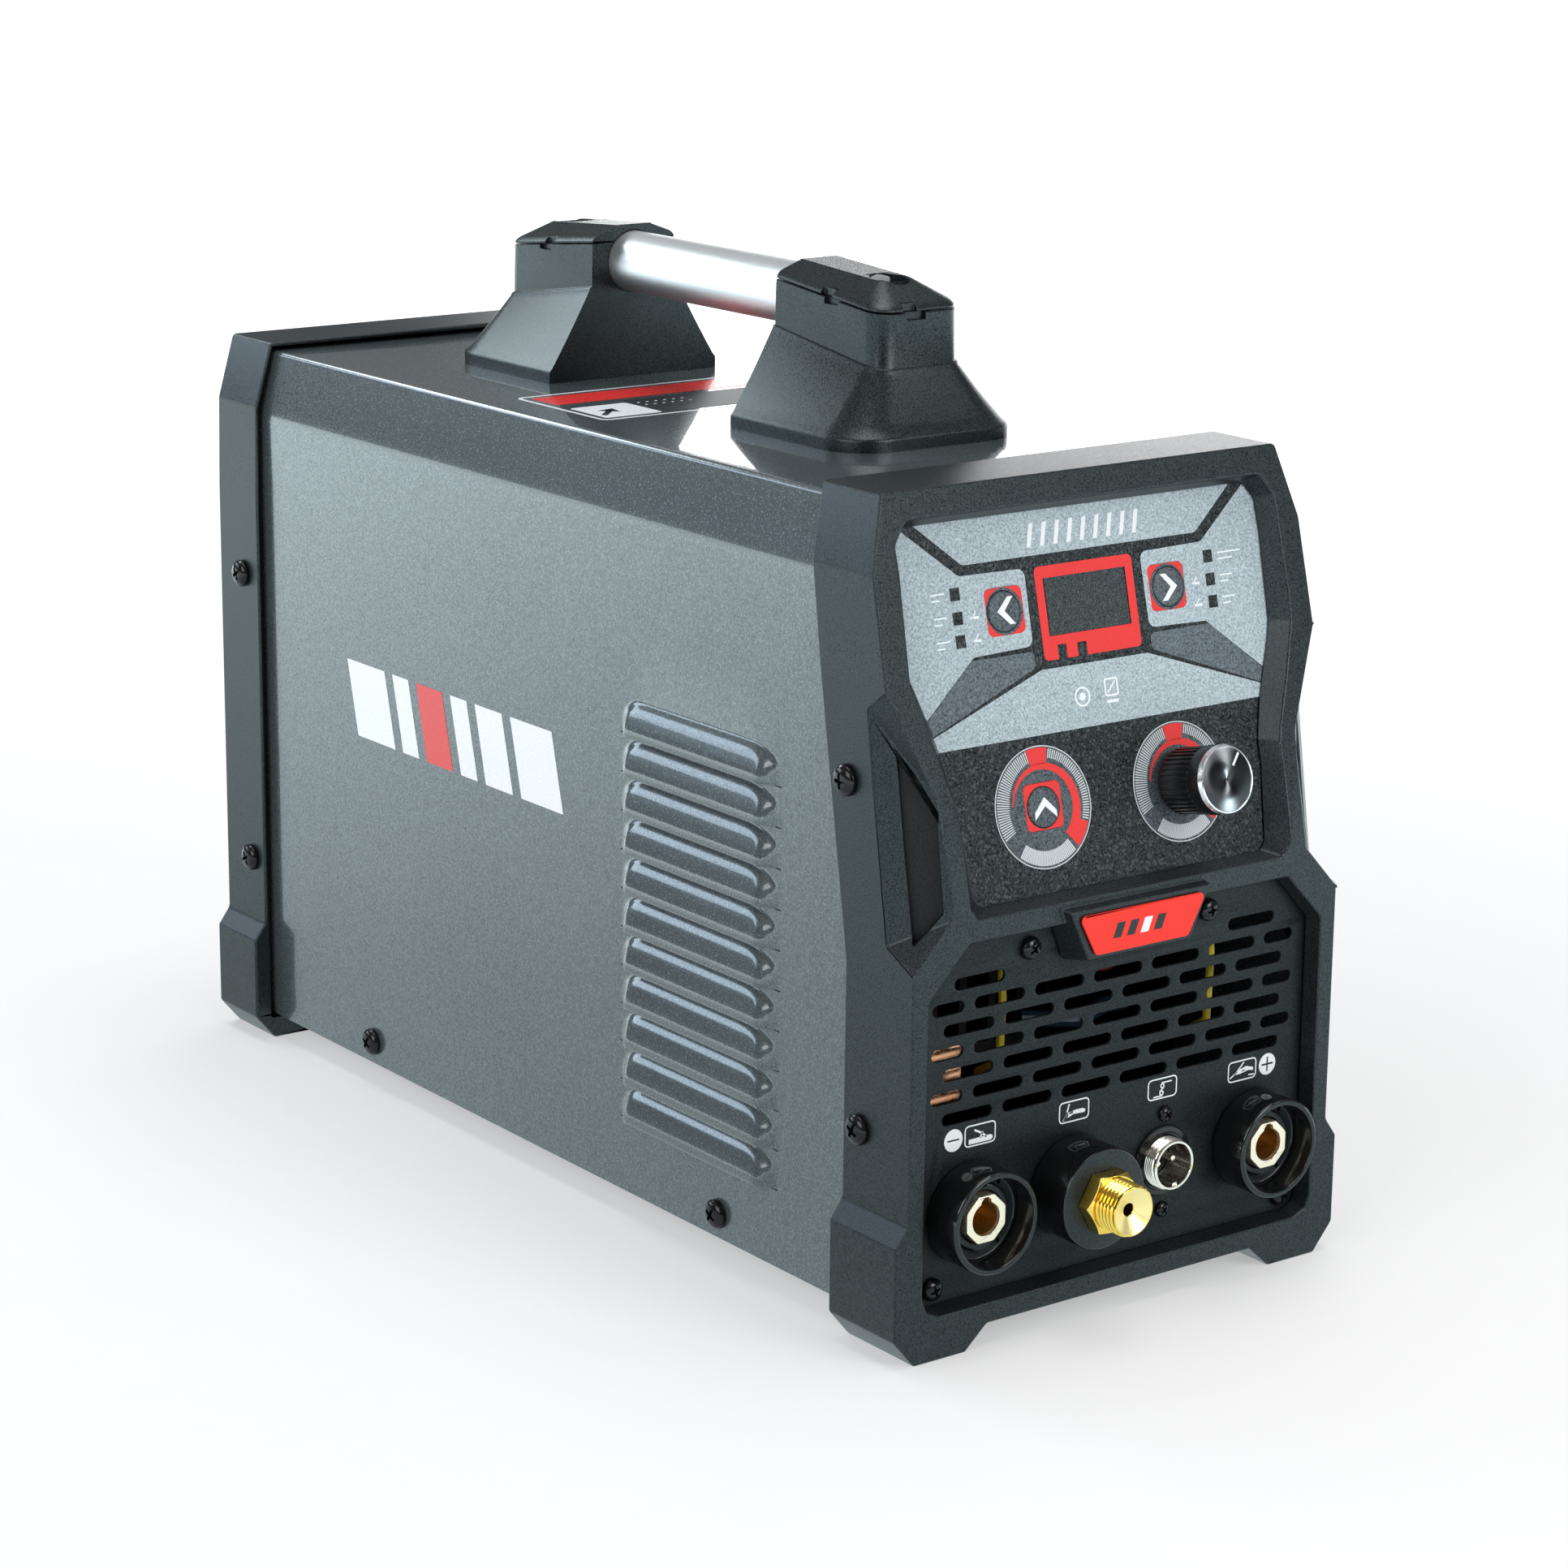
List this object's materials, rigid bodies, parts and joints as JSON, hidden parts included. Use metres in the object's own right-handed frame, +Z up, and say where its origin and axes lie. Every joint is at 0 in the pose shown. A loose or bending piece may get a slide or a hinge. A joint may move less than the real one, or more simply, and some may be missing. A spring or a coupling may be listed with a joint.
{
  "type": "TIG welding machine",
  "caption": "Portable inverter TIG welding power source: folded louvred case, moulded end bezels, sloping control panel, sockets, tubular carrying handle.",
  "frame": {"origin": "centre of the bounding box, on the floor", "axes": "+X to the right seen from the front, +Y from the front panel to the rear panel, +Z up"},
  "size_m": [0.172, 0.4498, 0.2962],
  "materials": {
    "case_grey_paint": "gloss",
    "panel_black_paint": "matte",
    "bezel_charcoal_plastic": "textured",
    "overlay_film": "satin",
    "display_lens": "gloss",
    "badge_red": "satin",
    "gloss_black_plastic": "gloss",
    "brass": "satin",
    "satin_aluminium": "satin",
    "nickel_plate": "gloss",
    "zinc_steel": "satin",
    "black_zinc_screw": "gloss",
    "circuit_board_green": "satin",
    "copper": "satin",
    "ferrite": "matte",
    "winding_tape_yellow": "satin",
    "capacitor_sleeve": "satin",
    "rubber": "matte",
    "gas_hose_blue": "satin"
  },
  "bodies": {
    "housing": {"front_bezel": "bezel_charcoal_plastic", "rear_bezel": "bezel_charcoal_plastic", "top_cover": "case_grey_paint", "base_tray": "zinc_steel", "front_panel": "panel_black_paint", "control_plate": "panel_black_paint", "control_overlay": "overlay_film", "display_window": "display_lens", "display_module": "gloss_black_plastic", "control_board": "circuit_board_green", "badge": "badge_red", "encoder": "zinc_steel", "socket_negative": "gloss_black_plastic", "insert_negative": "brass", "socket_positive": "gloss_black_plastic", "insert_positive": "brass", "torch_collar": "gloss_black_plastic", "torch_fitting": "brass", "control_socket": "nickel_plate", "handle_post_front": "bezel_charcoal_plastic", "handle_post_rear": "bezel_charcoal_plastic", "handle_cap_front": "bezel_charcoal_plastic", "handle_cap_rear": "bezel_charcoal_plastic", "handle_tube": "satin_aluminium", "rear_panel": "case_grey_paint", "fan_frame": "rubber", "fan_guard": "zinc_steel", "switch_body": "gloss_black_plastic", "cable_gland": "gloss_black_plastic", "mains_cable": "rubber", "gas_inlet": "brass", "gas_hose": "gas_hose_blue", "solenoid_body": "brass", "main_board": "circuit_board_green", "heatsink": "satin_aluminium", "transformer_core": "ferrite", "transformer_winding": "winding_tape_yellow", "choke_core": "ferrite", "choke_winding": "copper", "bus_capacitor": "capacitor_sleeve", "bezel_screw_left_upper": "black_zinc_screw", "bezel_screw_left_lower": "black_zinc_screw", "bezel_screw_right_upper": "black_zinc_screw", "bezel_screw_right_lower": "black_zinc_screw", "cover_screw_left_front": "black_zinc_screw", "cover_screw_left_rear": "black_zinc_screw", "cover_screw_right_front": "black_zinc_screw", "cover_screw_right_rear": "black_zinc_screw", "panel_screw_lower_left": "black_zinc_screw", "panel_screw_lower_right": "black_zinc_screw", "panel_screw_upper_left": "black_zinc_screw", "panel_screw_upper_right": "black_zinc_screw"},
    "knob": {"knob": "gloss_black_plastic", "encoder_shaft": "zinc_steel"},
    "key_left": {"key_left": "overlay_film"},
    "key_right": {"key_right": "overlay_film"},
    "key_up": {"key_up": "overlay_film"},
    "rocker": {"switch_rocker": "gloss_black_plastic"},
    "impeller": {"fan_impeller": "gloss_black_plastic"},
    "plunger": {"solenoid_plunger": "zinc_steel"}
  },
  "joints": [
    {"name": "knob_turn", "type": "hinge", "parent": "housing", "child": "knob", "pos_m": [0.0261, -0.1917, 0.1558], "axis": [0, -0.9713, 0.2378], "range_deg": [-113, 187]},
    {"name": "key_left_press", "type": "slide", "parent": "housing", "child": "key_left", "axis": [0, 0.9713, -0.2378], "range_m": [0, 0.0005]},
    {"name": "key_right_press", "type": "slide", "parent": "housing", "child": "key_right", "axis": [0, 0.9713, -0.2378], "range_m": [0, 0.0005]},
    {"name": "key_up_press", "type": "slide", "parent": "housing", "child": "key_up", "axis": [0, 0.9713, -0.2378], "range_m": [0, 0.0005]},
    {"name": "rocker_tip", "type": "hinge", "parent": "housing", "child": "rocker", "pos_m": [0.046, 0.1834, 0.208], "axis": [-1, 0, 0], "range_deg": [0, 22]},
    {"name": "impeller_spin", "type": "hinge", "parent": "housing", "child": "impeller", "pos_m": [0, 0.1729, 0.132], "axis": [0, 1, 0], "continuous": true},
    {"name": "plunger_lift", "type": "slide", "parent": "housing", "child": "plunger", "axis": [0, 0, 1], "range_m": [0, 0.0015]}
  ]
}
